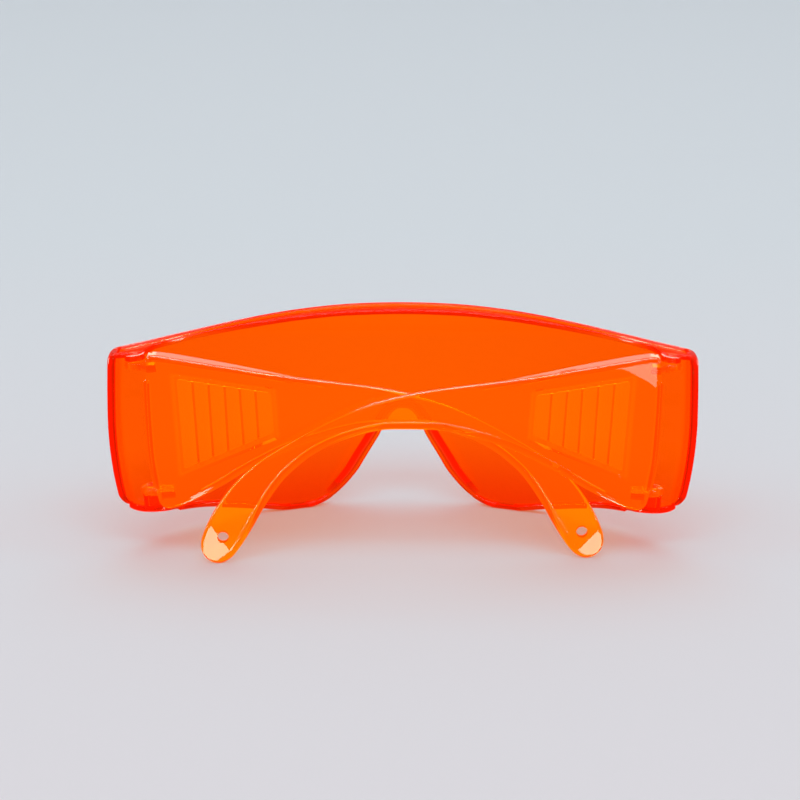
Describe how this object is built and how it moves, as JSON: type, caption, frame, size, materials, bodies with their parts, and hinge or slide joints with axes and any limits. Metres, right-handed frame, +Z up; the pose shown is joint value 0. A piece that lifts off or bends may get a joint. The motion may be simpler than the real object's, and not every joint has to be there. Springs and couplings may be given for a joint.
{
  "type": "safety glasses",
  "caption": "Folding wrap-around safety glasses with a one-piece tinted shield, brow shelf, vented side shields and cord holes in the temple tips.",
  "frame": {"origin": "on the table, in the middle of the folded glasses' footprint", "axes": "+X the wearer's right, +Y the way the wearer looks (the shield's convex side), +Z up; glasses folded and standing on the shield's lower lobes and the temple tips"},
  "size_m": [0.1564, 0.0528, 0.058],
  "materials": {
    "lens": "clear fluorescent orange polycarbonate, polished",
    "temple": "clear fluorescent orange polycarbonate, polished, paler than the shield",
    "pin": "orange plastic"
  },
  "bodies": {
    "front": {"lens_shield": "lens", "hinge_pin_upper_left": "pin", "hinge_pin_lower_left": "pin", "hinge_pin_upper_right": "pin", "hinge_pin_lower_right": "pin"},
    "left_temple": {"temple_left": "temple"},
    "right_temple": {"temple_right": "temple"}
  },
  "joints": [
    {"name": "right_temple_fold", "type": "hinge", "parent": "front", "child": "right_temple", "pos_m": [0.0703, -0.0151, 0.052], "axis": [0.1028, 0, 0.9947], "range_deg": [0, 89.4]},
    {"name": "left_temple_fold", "type": "hinge", "parent": "front", "child": "left_temple", "pos_m": [-0.0703, -0.0151, 0.052], "axis": [0.1028, 0, -0.9947], "range_deg": [0, 91.9]}
  ]
}
